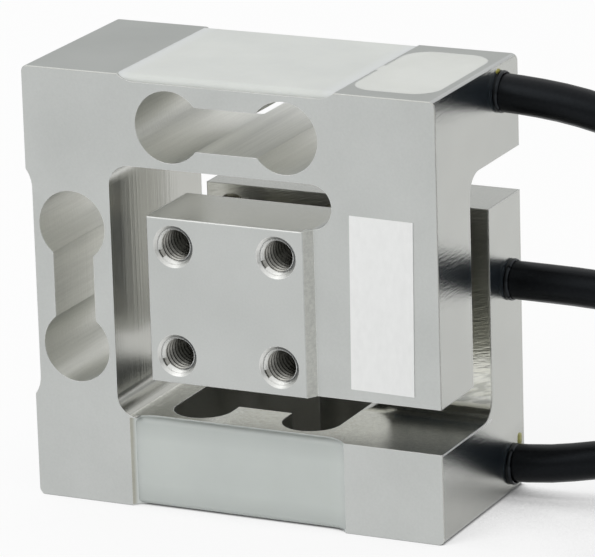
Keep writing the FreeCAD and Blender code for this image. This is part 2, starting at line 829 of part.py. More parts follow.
def lead_route(level, offset):
    """One bare lead, from the end of its cable inside the coil's top layer, inward and down."""
    angle = math.radians(LEAD_START_ANGLE)
    outward = FreeCAD.Vector(math.cos(angle), math.sin(angle), 0)
    sideways = FreeCAD.Vector(-math.sin(angle), math.cos(angle), 0)
    radius = value("coil_mean_diameter") / 2 - value(coil_half())
    high = value("tie_thickness") + (level + 1) * value(coil_height()) - value("cable_diameter") / 2
    centre = FreeCAD.Vector(value("coil_x"), value("coil_y"), high) + sideways * offset
    drop = FreeCAD.Vector(0, 0, -1)
    start = centre + outward * (radius + value("cable_diameter") / 2)
    bend = centre + outward * (radius - LEAD_BEND)
    return [start, bend, bend + drop * LEAD_DROP]


def make_leads(coils):
    """The four bare leads of each cable, one node for each colour."""
    for number, colour in enumerate(LEAD_COLOURS):
        offset = (number - (len(LEAD_COLOURS) - 1) / 2) * value("lead_pitch")
        members = []
        for level, coil in enumerate(coils):
            feature = doc.addObject("Part::Feature", f"{colour}_lead_{level}")
            feature.Shape = tube(lead_route(level, offset), value("lead_diameter"))[0]
            members.append(boolean("Cut", f"{colour}_lead_{level}_out", feature, coil))
        keep(group(colour + "_lead_group", members), colour + "_leads")


def make_label():
    """The label, stuck on a little askew."""
    body = new_body("Label")
    face = new_sketch(body, "label_face", "XZ_Plane")
    outline(face, rectangle("-label_width / 2", "label_width / 2", "-label_height / 2", "label_height / 2"))
    pad(body, face, "label_thickness")
    place(body, f"{RIGHT} - label_inset", FRONT, f"{MIDDLE_Z} + label_rise")
    body.Placement.Rotation = FreeCAD.Rotation(FreeCAD.Vector(0, 1, 0), value("label_tilt"))
    bind(body, Placement__Rotation__Angle="label_tilt")
    return keep(body, "blank_label")


def make_cords():
    """The three cables from bottom to top, with their beads, coils, ties and leads. Returns the top cable."""
    cables = [
        ("lower_cable", "lower_exit_y", "lower_exit_z", "cable_bore_depth", LOWER_ROUTE),
        ("middle_cable", "middle_exit_y", "middle_exit_z", "cable_bore_depth", MIDDLE_ROUTE),
        ("top_cable", "top_exit_y", TOP_EXIT_Z, "pocket_wall + cable_in_pocket", TOP_ROUTE),
    ]
    coils = [make_coil(name + "_coil", level) for level, (name, *_) in enumerate(cables)]
    for (name, y, z, depth, route), coil in zip(cables, coils):
        cable = make_cable(name, y, z, depth, route, coil)
        make_bead(name + "_bead", y, z, cable)
    for number, angle in enumerate(TIE_ANGLES, start=1):
        make_tie(number, angle)
    make_leads(coils)
    return cable


def check_all():
    for thing in doc.Objects:
        if "Invalid" in thing.State or "Error" in thing.State:
            raise ValueError(f"{thing.Label} is not built: {thing.State}")
    for node in nodes:
        if node.Shape.isNull() or not node.Shape.isValid():
            raise ValueError(f"{node.Label} has no sound shape")


def write_parts():
    os.makedirs("parts", exist_ok=True)
    for node in nodes:
        node.Shape.exportStep(f"parts/{node.Label}.step")


make_sensor_body()
strain_gauges = make_gauges()
top_cable = make_cords()
top_fill = make_top_sealant(strain_gauges)
make_left_sealant(strain_gauges)
make_lower_sealant("lower_front", FRONT, -1, strain_gauges)
make_lower_sealant("lower_rear", BACK, 1, strain_gauges)
make_pocket_sealant(top_fill, make_terminal_board(), top_cable)
make_label()
doc.recompute()
check_all()
write_parts()
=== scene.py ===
import math

import bpy
from mathutils import Matrix, Vector, noise


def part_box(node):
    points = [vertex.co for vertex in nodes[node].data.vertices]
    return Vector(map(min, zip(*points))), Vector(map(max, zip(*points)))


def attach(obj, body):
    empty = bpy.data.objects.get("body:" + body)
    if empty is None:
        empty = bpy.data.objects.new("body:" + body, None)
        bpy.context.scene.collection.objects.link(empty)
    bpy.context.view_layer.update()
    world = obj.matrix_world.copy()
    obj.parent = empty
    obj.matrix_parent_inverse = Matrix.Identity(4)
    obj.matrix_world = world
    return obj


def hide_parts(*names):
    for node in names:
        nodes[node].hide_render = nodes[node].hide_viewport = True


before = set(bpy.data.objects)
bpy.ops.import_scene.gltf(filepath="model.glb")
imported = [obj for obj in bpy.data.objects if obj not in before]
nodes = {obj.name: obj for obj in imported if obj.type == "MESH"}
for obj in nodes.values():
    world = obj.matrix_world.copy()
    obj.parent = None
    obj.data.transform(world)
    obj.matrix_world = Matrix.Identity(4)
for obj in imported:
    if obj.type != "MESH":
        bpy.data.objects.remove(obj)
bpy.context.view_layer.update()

scene = bpy.context.scene
MM = 0.001

# the camera, fitted to the photograph
AZIMUTH = math.radians(25.978)
ELEVATION = math.radians(16.631)
ROLL = math.radians(-1.745)
DISTANCE = 0.68529
AIM = Vector((0, 0, 0.030054))
ASIDE = 0.002941
RAISED = -0.000340
LENS = 309.75
FILM_WIDTH = 36
NEAREST = 0.01
FURTHEST = 50

# the cables: routes as in the solids, in millimetres, and the coils of the put-away length
CABLE = 5.2
COIL_CENTRE = (90.5, -14.0)
COIL_RADIUS = 31.2
COIL_FOOT = 0.8
COIL_LAYERS = 4
ENTRY_ANGLE = 95.0
POINTS_PER_TURN = 24
STEP_SPAN = 0.25
FIRST_STEP = 0.67
LAST_TURN = 11.055
STEPS_ALONG = 4
STEPS_ROUND = 6
ROUTES = {
    "lower_cable": [
        (24.0, 9.65, 4.05), (33.0, 9.65, 4.05), (43.5, 11.9, 5.7), (55.5, 16.1, 6.5), (67.5, 18.4, 4.4),
        (79.0, 17.6, 3.9),
    ],
    "middle_cable": [
        (24.0, 10.0, 29.85), (33.0, 10.0, 29.85), (45.5, 10.2, 29.6), (58.0, 11.7, 26.6), (69.5, 14.2, 24.6),
        (79.5, 16.1, 24.25),
    ],
    "top_cable": [
        (26.0, 7.6, 56.25), (33.0, 7.6, 56.25), (44.5, 7.8, 54.65), (56.5, 9.4, 49.8), (67.5, 12.5, 45.9),
        (78.0, 15.6, 45.05),
    ],
}

# the bare leads at the cables' far ends, in millimetres, each with its dark and its light tone
LEAD_TONES = {
    "red": ((0.40, 0.01, 0.01), (0.5, 0.02, 0.02)),
    "black": ((0.01, 0.01, 0.01), (0.02, 0.02, 0.02)),
    "green": ((0.01, 0.2, 0.04), (0.02, 0.28, 0.06)),
    "white": ((0.72, 0.72, 0.70), (0.8, 0.8, 0.78)),
}
LEAD_DIAMETER = 1.1
LEAD_PITCH = 1.4
LEAD_ANGLE = 75.0
LEAD_RADIUS = 14.2
LEAD_SPREAD = 0.9
LEAD_IN_JACKET = 2.0
LEAD_STRAIGHT = 2.5
LEAD_TURN_IN = 0.6
LEAD_TURN_DOWN = 4.0
LEAD_DROP = 15.0

# the M5 thread in the platforms' holes, in millimetres and degrees
HOLE_COLUMNS = (-7.5, 7.5)
HOLE_ROWS = (22.5, 37.5)
HOLE_MOUTH = 15.0
HOLE_DEPTH = 12.0
MOUTH_RADIUS = 2.9
PITCH = 0.8
CREST_RADIUS = 2.1
ROOT_RADIUS = 2.52
CREST_HALF = 0.1
ROOT_HALF = 0.35
UNDER_MOUTH = 0.03
THREAD_SIDES = 40
THREAD_START = (196.0, 222.0)

# the smears of old adhesive on the right face: middle and half sizes in millimetres, and the seed of the rim
SMEARS = {
    "top_adhesive": ((29.75, 6.9, 59.15), (0.38, 1.3, 0.42), 3.0),
    "lower_adhesive": ((30.0, 11.9, 6.7), (0.2, 0.85, 1.05), 8.0),
}
SMEAR_RINGS = 6
SMEAR_SIDES = 24
SMEAR_WAVE = 0.35
SMEAR_WAVE_SCALE = 1.7

# where the body's finishes meet, in metres: just inside the outer faces and the edges of its details
FRONT_FACE = 0.01335
TOP_FACE = 0.0598
BOTTOM_FACE = 0.0002
LEFT_FACE = -0.0289
RIGHT_FACE = 0.0298
CORNER_FOOT = 0.0588
CORNER_SIDE = 0.0289
TOP_HOLE_HALF = 0.0145
TOP_HOLE_FOOT = 0.048
LEFT_HOLE_SIDE = -0.0178
PLATFORM_TOP = (0.041, 0.042)
SLOT_FLOOR = 0.0135
REAR_WALL = 0.0028
REAR_WALL_FOOT = 0.0187
ARM_TOP = 0.0126
WELL_TOP = 0.0123
RECESS_FLOOR = 0.0114
PAD_FACE = 0.0134
PAD_FOOT = 0.015
PAD_SIDE = 0.0112
RIM_FACE = 0.0133
# a painted highlight line on the right side just under the slot floor's edge
HIGHLIGHT_LIP = (0.01225, 0.0125)

# where a tone begins to fade in along an axis and where it is full, in metres
# painted shade on the low side walls fades in over this span, which also sets the rear wall's low swell
SUNK_Z = (0.030, 0.024)
REARWARD_SHADE_Y = (0.0, 0.01)
# painted shade on the foot of the right side fades in over this span
SHADED_FOOT_Z = (0.0095, 0.006)
SMEARED_X = (-0.0156, -0.0153)
# painted shade deeper in the thread fades in over this span
SHADED_DEPTH_Y = (0.0145, 0.0105)
# painted light at the inner end of the rear holes fades in over this span
LIT_INNER_END_Y = (0.0125, 0.0095)

# how squarely a face looks along an axis, as a cosine
SQUARE = 0.9
OUTWARD = 0.85
HALF_TURNED = 0.5
SHOULDER_TURN = 0.68
CREST_HIGHLIGHT_SIDE = 0.1
CREST_HIGHLIGHT_UP = 0.73
RIM_TURN = 0.97
WEAR_AND_HIGHLIGHT_TURN = (0.98, 0.8)
EDGE_RADIUS = 0.0002

# the body's finishes and the painted shade and light on some of its faces, each with its dark and its light
# tone, and what each adds to the roughness
TONES = {
    "satin": ((0.515, 0.53, 0.515), (0.585, 0.60, 0.585)),
    # painted shade: the top faces darker and warmer than the other satin faces
    "top": ((0.49, 0.50, 0.472), (0.557, 0.566, 0.537)),
    "right": ((0.45, 0.455, 0.43), (0.51, 0.515, 0.485)),
    # painted shade: the foot of the right side darker, for the floor's shadow in its reflection
    "right_foot_shade": ((0.368, 0.37, 0.345), (0.418, 0.42, 0.39)),
    "inside": ((0.53, 0.53, 0.495), (0.60, 0.60, 0.56)),
    # painted shade on the rear half of the side walls
    "rearward_shade": ((0.45, 0.45, 0.42), (0.51, 0.51, 0.475)),
    # painted shade on the lower part of the side walls
    "low_wall_shade": ((0.44, 0.44, 0.41), (0.505, 0.505, 0.47)),
    "platform_top": ((0.56, 0.565, 0.53), (0.72, 0.72, 0.68)),
    "slot_floor": ((0.64, 0.64, 0.59), (0.88, 0.88, 0.82)),
    # painted light: the deep inner walls and low wells paler than the other walls inside
    "deep": ((0.68, 0.68, 0.635), (0.76, 0.76, 0.71)),
    "rear_foot": ((0.52, 0.525, 0.50), (0.78, 0.78, 0.745)),
    "hole": ((0.68, 0.68, 0.64), (0.87, 0.87, 0.825)),
    # painted shade: a darker brownish tone on the recess walls beside the silicone's seam
    "seam_shade": ((0.49, 0.485, 0.42), (0.63, 0.625, 0.555)),
    # rough blunt faces, made paler as painted light over dark reflections
    "blunt_painted_light": ((0.76, 0.765, 0.735), (0.87, 0.875, 0.84)),
    "cone": ((0.64, 0.645, 0.62), (0.82, 0.825, 0.80)),
    # paler edges: wear, and a painted highlight
    "wear_and_highlight": ((0.80, 0.805, 0.79), (0.93, 0.935, 0.92)),
    # painted highlight along the upper part of the top right round
    "crest_highlight": ((0.57, 0.58, 0.57), (0.65, 0.66, 0.65)),
}
ROUGHNESS = {
    "satin": 0.22, "right": 0.03, "hole": 0.20, "inside": 0.06, "deep": 0.08, "recess": 0.25,
    "blunt_painted_light": 0.62, "cone": 0.12, "lip": 0.3, "crest_highlight": 0.3,
}
LEAST_ROUGHNESS = 0.12
WORN_ROUGHNESS = 0.3
FINE_ROUGHNESS = 0.08
SMEARED_SILICONE = (0.735, 0.765, 0.745, 1)

# how far apart a ramp's two tones lie on the noise, from gradual to sudden
SOFT = (0.3, 0.7)
FIRM = (0.35, 0.65)
CRISP = (0.4, 0.6)

# the silicone's pale and deep tone, its tone at the edges of a strip (on the top strip a painted highlight),
# and the share of a strip without that
TOP_SILICONE = ((0.685, 0.705, 0.675), (0.64, 0.66, 0.635))
TOP_SILICONE_EDGE_HIGHLIGHT = (0.695, 0.718, 0.715)
TOP_PLAIN_SHARE = 0.86
SIDE_SILICONE = ((0.60, 0.635, 0.61), (0.565, 0.60, 0.578))
SIDE_SILICONE_EDGE = (0.497, 0.528, 0.509)
SIDE_PLAIN_SHARE = 0.5
POCKET_SILICONE = ((0.72, 0.735, 0.70), (0.66, 0.675, 0.64))

# the middle and half width of the left strip along y and of the lower ones along z, in metres
LEFT_STRIP = (0.0, 0.0113)
LOWER_STRIP = (0.00625, 0.0061)

# the dark and the light tone of the cables and their beads
BLACK = ((0.002, 0.002, 0.0023), (0.005, 0.005, 0.0055))

# the floor with the reach and depth of its shadow, the sky and the lamp
FLOOR_HALF = 4.0
SHADOW_REACH = 0.04
SHADOW = {"From Min": 0.1, "From Max": 0.42, "To Min": 0.02}
FLOOR_GLOW = 0.85
SKY_LOW = (0.47, 0.48, 0.48)
SKY_HIGH = (0.98, 0.98, 0.98)
SKY_SPAN = (0.1, 0.75)
LAMP_SIZE = 1.0
LAMP_POWER = 3.0
LAMP_PLACE = (-0.5, -0.8, 0.8)
LAMP_AIM = (0, 0, 0.03)


def make_camera():
    """The camera, turned about its own axis and moved aside as the photograph's framing needs."""
    back = Vector((
        math.sin(AZIMUTH) * math.cos(ELEVATION),
        -math.cos(AZIMUTH) * math.cos(ELEVATION),
        math.sin(ELEVATION),
    ))
    level = Vector((math.cos(AZIMUTH), math.sin(AZIMUTH), 0))
    upright = back.cross(level)
    right = level * math.cos(ROLL) + upright * math.sin(ROLL)
    up = upright * math.cos(ROLL) - level * math.sin(ROLL)
    camera = bpy.data.objects.new("camera", bpy.data.cameras.new("camera"))
    camera.data.sensor_width = FILM_WIDTH
    camera.data.lens = LENS
    camera.data.clip_start = NEAREST
    camera.data.clip_end = FURTHEST
    place = AIM + back * DISTANCE + right * ASIDE + up * RAISED
    camera.matrix_world = Matrix.Translation(place) @ Matrix((right, up, back)).transposed().to_4x4()
    scene.collection.objects.link(camera)
    scene.camera = camera


def ease(start, now):
    """A smooth step from 0 to 1 that takes one step's span from its start."""
    t = min(max((now - start) / STEP_SPAN, 0.0), 1.0)
    return t * t * (3 - 2 * t)


def coil_points(level):
    """The turns of one coil, layer on layer: up the outer column, down the middle one, up the inner one."""
    half = STEP_SPAN / 2
    climbs = COIL_LAYERS - 1
    up_outer = [k + FIRST_STEP for k in range(climbs)]
    to_middle = climbs + FIRST_STEP - half
    down_middle = [COIL_LAYERS + k + FIRST_STEP - 2 * half for k in range(climbs)]
    to_inner = COIL_LAYERS + climbs + FIRST_STEP - 3 * half
    up_inner = [2 * COIL_LAYERS + k + FIRST_STEP - 4 * half for k in range(climbs)]
    foot = COIL_FOOT + level * COIL_LAYERS * CABLE + CABLE / 2
    outset = 1 / math.cos(math.pi / POINTS_PER_TURN)
    points = []
    for number in range(int(LAST_TURN * POINTS_PER_TURN) + 1):
        turn = number / POINTS_PER_TURN
        layer = sum(ease(s, turn) for s in up_outer) - sum(ease(s, turn) for s in down_middle)
        layer += sum(ease(s, turn) for s in up_inner)
        radius = COIL_RADIUS - CABLE * (ease(to_middle, turn) + ease(to_inner, turn))
        angle = math.radians(ENTRY_ANGLE) - 2 * math.pi * turn
        points.append((
            COIL_CENTRE[0] + radius * outset * math.cos(angle),
            COIL_CENTRE[1] + radius * outset * math.sin(angle),
            foot + layer * CABLE,
        ))
    return points


def make_curve(name, points, diameter):
    """A round cord along a smooth line through the runs between the points, given in millimetres."""
    curve = bpy.data.curves.new(name, "CURVE")
    curve.dimensions = "3D"
    spline = curve.splines.new("NURBS")
    spline.points.add(len(points) - 1)
    for point, place in zip(spline.points, points):
        point.co = (place[0] * MM, place[1] * MM, place[2] * MM, 1)
        point.radius = diameter / 2 * MM
    spline.order_u = 3
    spline.use_endpoint_u = True
    spline.resolution_u = STEPS_ALONG
    curve.bevel_depth = 1.0
    curve.bevel_resolution = STEPS_ROUND
    curve.use_fill_caps = True
    thing = bpy.data.objects.new(name, curve)
    scene.collection.objects.link(thing)
    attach(thing, "root")
    return thing


def make_leads(name, end, heading):
    """The four bare leads that come out of the cable's cut end, turn inward and hang down inside the coil."""
    angle = math.radians(LEAD_ANGLE)
    outward = Vector((math.cos(angle), math.sin(angle), 0))
    sideways = Vector((-math.sin(angle), math.cos(angle), 0))
    upward = Vector((0, 0, 1))
    middle = Vector((COIL_CENTRE[0], COIL_CENTRE[1], end.z))
    leads = []
    for number, colour in enumerate(LEAD_TONES):
        offset = (number - (len(LEAD_TONES) - 1) / 2) * LEAD_PITCH
        quarter = math.pi / 4 + number * math.pi / 2
        core = end + outward * LEAD_SPREAD * math.cos(quarter) + upward * LEAD_SPREAD * math.sin(quarter)
        bend = middle + outward * LEAD_RADIUS + sideways * offset
        points = [
            core - heading * LEAD_IN_JACKET,
            core + heading * LEAD_STRAIGHT,
            bend + outward * LEAD_STRAIGHT,
            bend - outward * LEAD_TURN_IN,
            bend - upward * LEAD_TURN_DOWN,
            bend - upward * LEAD_DROP,
        ]
        lead = make_curve(f"{colour}_lead_of_{name}", points, LEAD_DIAMETER)
        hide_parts(colour + "_leads")
        leads.append((colour, lead))
    return leads


def make_cable(name, level):
    """One cable with its coil, which lies at the given level of the stack, and its leads."""
    turns = coil_points(level)
    cord = make_curve(name + "_cord", ROUTES[name] + turns, CABLE)
    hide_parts(name, name + "_coil")
    end = Vector(turns[-1])
    leads = make_leads(name, end, (end - Vector(turns[-2])).normalized())
    return cord, leads


def mesh_object(name, vertices, faces, smooth=True):
    """A mesh that rides with the sensor, its vertices given in metres."""
    mesh = bpy.data.meshes.new(name)
    mesh.from_pydata(vertices, [], faces)
    mesh.validate()
    for polygon in mesh.polygons:
        polygon.use_smooth = smooth
    thing = bpy.data.objects.new(name, mesh)
    scene.collection.objects.link(thing)
    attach(thing, "root")
    return thing


def make_threads(name, way):
    """The thread in one platform's holes, under their countersinks: way is -1 at the front, 1 at the rear."""
    profile = [
        (-ROOT_HALF, ROOT_RADIUS), (-CREST_HALF, CREST_RADIUS),
        (CREST_HALF, CREST_RADIUS), (ROOT_HALF, ROOT_RADIUS),
    ]
    vertices, faces, finishes = [], [], []

    def vertex(column, row, radius, angle, inside):
        vertices.append((
            (column + radius * math.cos(angle)) * MM,
            way * (HOLE_MOUTH - inside) * MM,
            (row + radius * math.sin(angle)) * MM,
        ))

    def strip(first, count, steps, finish, kept=lambda step: True):
        for step in range(steps):
            for edge in range(count - 1):
                a = first + step * count + edge
                if kept(step):
                    faces.append((a, a + 1, a + count + 1, a + count)[::way])
                    finishes.append(finish)

    def off_start(step):
        degrees = 360 * (step + 0.5) / THREAD_SIDES
        return not THREAD_START[0] < degrees < THREAD_START[1]

    steps = int((HOLE_DEPTH - 2 * ROOT_HALF) / PITCH * THREAD_SIDES)
    for column in HOLE_COLUMNS:
        for row in HOLE_ROWS:
            first = len(vertices)
            for step in range(THREAD_SIDES + 1):
                angle = 2 * math.pi * step / THREAD_SIDES
                for radius in (ROOT_RADIUS, CREST_RADIUS):
                    vertex(column, row, radius, angle, MOUTH_RADIUS - radius)
            strip(first, 2, THREAD_SIDES, 0, off_start)
            first = len(vertices)
            for step in range(steps + 1):
                angle = math.radians(THREAD_START[0]) + way * 2 * math.pi * step / THREAD_SIDES
                for along, radius in profile:
                    inside = ROOT_HALF + PITCH * step / THREAD_SIDES + along
                    reach = max(radius, MOUTH_RADIUS + UNDER_MOUTH - inside)
                    vertex(column, row, reach, angle, inside)
            strip(first, len(profile), steps, 1)
    thing = mesh_object(name, vertices, faces, smooth=False)
    for polygon, finish in zip(thing.data.polygons, finishes):
        polygon.material_index = finish
    return thing


def make_smear(name, centre, size, seed):
    """A small domed smear of old adhesive on the right face, with an uneven rim."""
    vertices = [(centre[0] + size[0], centre[1], centre[2])]
    for ring in range(1, SMEAR_RINGS + 1):
        share = ring / SMEAR_RINGS
        for side in range(SMEAR_SIDES):
            angle = 2 * math.pi * side / SMEAR_SIDES
            spot = (math.cos(angle) * SMEAR_WAVE_SCALE, math.sin(angle) * SMEAR_WAVE_SCALE, seed)
            wave = 1 + SMEAR_WAVE * noise.noise(Vector(spot))
            vertices.append((
                centre[0] + size[0] * (1 - share ** 2),
                centre[1] + size[1] * share * wave * math.cos(angle),
                centre[2] + size[2] * share * wave * math.sin(angle),
            ))
    faces = [(0, 1 + side, 1 + (side + 1) % SMEAR_SIDES) for side in range(SMEAR_SIDES)]
    for ring in range(SMEAR_RINGS - 1):
        for side in range(SMEAR_SIDES):
            a = 1 + ring * SMEAR_SIDES + side
            b = 1 + ring * SMEAR_SIDES + (side + 1) % SMEAR_SIDES
            faces.append((a, a + SMEAR_SIDES, b + SMEAR_SIDES, b))
    scaled = [tuple(c * MM for c in v) for v in vertices]
    return mesh_object(name, scaled, faces)


def add(tree, kind, sockets=None, **settings):
    """A shader node with its sockets linked or set."""
    node = tree.nodes.new("ShaderNode" + kind)
    for key, setting in settings.items():
        setattr(node, key, setting)
    for key, given in (sockets or {}).items():
        if isinstance(given, bpy.types.NodeSocket):
            tree.links.new(given, node.inputs[key])
        else:
            node.inputs[key].default_value = given
    return node


def calc(tree, operation, a, b=0.0, c=0.0):
    """A sum, product or other operation on sockets or numbers."""
    return add(tree, "Math", {0: a, 1: b, 2: c}, operation=operation).outputs[0]


def grain(tree, place, scale, stretch=(1, 1, 1), detail=3.0, roughness=0.5):
    """Noise over the object's own coordinates, drawn out along an axis whose stretch is below 1."""
    mapped = add(tree, "Mapping", {"Vector": place, "Scale": [scale * s for s in stretch]}).outputs[0]
    sockets = {"Vector": mapped, "Scale": 1.0, "Detail": detail, "Roughness": roughness}
    return add(tree, "TexNoise", sockets).outputs["Fac"]


def ramp(tree, factor, low, high, start=0.0, end=1.0):
    """A colour from low to high as the factor goes from start to end."""
    node = add(tree, "ValToRGB", {"Fac": factor})
    node.color_ramp.elements[0].position = start
    node.color_ramp.elements[1].position = end
    node.color_ramp.elements[0].color = (*low, 1)
    node.color_ramp.elements[1].color = (*high, 1)
    return node.outputs["Color"]


def span(tree, factor, low, high):
    """A number from low to high as the factor goes from 0 to 1."""
    return add(tree, "MapRange", {"Value": factor, "To Min": low, "To Max": high}).outputs[0]


def fade(tree, source, start, end):
    """A mask from 0 to 1 as the source goes from start to end."""
    return add(tree, "MapRange", {"Value": source, "From Min": start, "From Max": end}).outputs[0]


def material(name):
    """A new material with its node tree, its shader and the object's own coordinates."""
    made = bpy.data.materials.new(name)
    made.use_nodes = True
    tree = made.node_tree
    shader = tree.nodes["Principled BSDF"]
    place = add(tree, "TexCoord").outputs["Object"]
    return made, tree, shader, place


def link(tree, source, shader, socket):
    """Link a socket to one of the shader's inputs."""
    tree.links.new(source, shader.inputs[socket])


def bump(tree, shader, height, strength, distance, **sockets):
    """Fine relief on the shader's normal."""
    relief = {"Height": height, "Strength": strength, "Distance": distance, **sockets}
    link(tree, add(tree, "Bump", relief).outputs["Normal"], shader, "Normal")


def either(tree, parts):
    """The largest of several masks."""
    made = parts[0]
    for part in parts[1:]:
        made = calc(tree, "MAXIMUM", made, part)
    return made


def both(tree, parts):
    """Where all of several masks hold."""
    made = parts[0]
    for part in parts[1:]:
        made = calc(tree, "MULTIPLY", made, part)
    return made


def blend(tree, mask, first, second):
    """The second colour where the mask holds and the first elsewhere."""
    return add(tree, "MixRGB", {"Fac": mask, "Color1": first, "Color2": second}).outputs["Color"]


def weighed(tree, pairs):
    """The sum of sockets times weights."""
    made = calc(tree, "MULTIPLY", *pairs[0])
    for source, weight in pairs[1:]:
        made = calc(tree, "MULTIPLY_ADD", source, weight, made)
    return made


def body_regions(tree, at, facing):
    """Masks of the body's faces and details, from where a point is and which way its face looks."""

    def above(source, limit):
        return calc(tree, "GREATER_THAN", source, limit)

    def below(source, limit):
        return calc(tree, "LESS_THAN", source, limit)

    def all_of(*parts):
        return both(tree, parts)

    def any_of(*parts):
        return either(tree, parts)

    beside = calc(tree, "ABSOLUTE", facing["X"])
    frontal = calc(tree, "ABSOLUTE", facing["Y"])
    flatwise = calc(tree, "ABSOLUTE", facing["Z"])
    sideways = calc(tree, "ABSOLUTE", at["X"])
    across = calc(tree, "ABSOLUTE", at["Y"])

    # the outer faces, the right side and the round along its top edge
    outward = above(frontal, OUTWARD)
    front_back = all_of(above(across, FRONT_FACE), outward)
    # the top faces, whose colour carries a painted shade
    top = above(at["Z"], TOP_FACE)
    satin = any_of(front_back, top, below(at["Z"], BOTTOM_FACE), below(at["X"], LEFT_FACE))
    corner = all_of(above(at["Z"], CORNER_FOOT), above(at["X"], CORNER_SIDE))
    shoulder = all_of(corner, above(facing["X"], SHOULDER_TURN))
    # the upper part of the top right round keeps a paler tone: a painted highlight
    crest_highlight = all_of(corner, above(facing["X"], CREST_HIGHLIGHT_SIDE), above(facing["Z"], CREST_HIGHLIGHT_UP))
    beyond = any_of(above(at["X"], RIGHT_FACE), shoulder)
    right = all_of(beyond, calc(tree, "SUBTRACT", 1.0, satin))
    rim = all_of(right, above(across, RIM_FACE), below(facing["X"], RIM_TURN))
    # painted highlight: a pale line on the right side under the slot floor's edge
    lip = all_of(right, above(at["Z"], HIGHLIGHT_LIP[0]), below(at["Z"], HIGHLIGHT_LIP[1]), below(at["Y"], REAR_WALL))

    # the milled walls, holes and floors inside
    inside = calc(tree, "SUBTRACT", 1.0, any_of(satin, right))
    wall = all_of(inside, above(beside, SQUARE))
    top_hole = all_of(below(sideways, TOP_HOLE_HALF), above(at["Z"], TOP_HOLE_FOOT))
    hole = all_of(inside, any_of(top_hole, below(at["X"], LEFT_HOLE_SIDE)))
    level = all_of(inside, above(facing["Z"], SQUARE))
    platform_top = all_of(level, above(at["Z"], PLATFORM_TOP[0]), below(at["Z"], PLATFORM_TOP[1]))
    slot_floor = all_of(level, below(at["Z"], SLOT_FLOOR))
    backed = all_of(inside, above(at["Y"], REAR_WALL))
    rear_wall = all_of(backed, below(facing["Y"], -SQUARE), above(at["Z"], ARM_TOP))
    rear_foot = all_of(rear_wall, below(at["Z"], REAR_WALL_FOOT))
    well = all_of(below(at["Z"], WELL_TOP), below(flatwise, HALF_TURNED))
    # the deep walls and low wells, which get a paler tone as painted light
    deep = all_of(inside, any_of(outward, well))
    shallow = all_of(inside, above(across, RECESS_FLOOR))
    recess = all_of(shallow, below(at["Z"], ARM_TOP), below(facing["Z"], HALF_TURNED))

    # the sides of the platforms' proud faces and their countersinks
    proud = all_of(inside, above(across, PAD_FACE), above(at["Z"], PAD_FOOT))
    # the platforms' sides and the right side's rims, rough and painted paler as painted light
    pad_side = all_of(proud, above(at["X"], PAD_SIDE))
    cone = all_of(proud, below(at["X"], PAD_SIDE), above(frontal, HALF_TURNED))
    return {
        "satin": satin,
        "top": top,
        "shoulder": shoulder,
        "crest_highlight": crest_highlight,
        "right": right,
        "right_foot_shade": all_of(right, fade(tree, at["Z"], *SHADED_FOOT_Z)),
        "lip": lip,
        "inside": inside,
        "wall": wall,
        "rearward_shade": all_of(wall, fade(tree, at["Y"], *REARWARD_SHADE_Y)),
        "low_wall_shade": all_of(wall, fade(tree, at["Z"], *SUNK_Z)),
        "hole": hole,
        "platform_top": platform_top,
        "slot_floor": slot_floor,
        "rear_wall": rear_wall,
        "rear_wall_low": all_of(rear_wall, fade(tree, at["Z"], *SUNK_Z)),
        "rear_foot": rear_foot,
        "deep": deep,
        "recess": recess,
        "smeared": fade(tree, at["X"], *SMEARED_X),
        "blunt_painted_light": any_of(pad_side, rim),
        "cone": cone,
    }


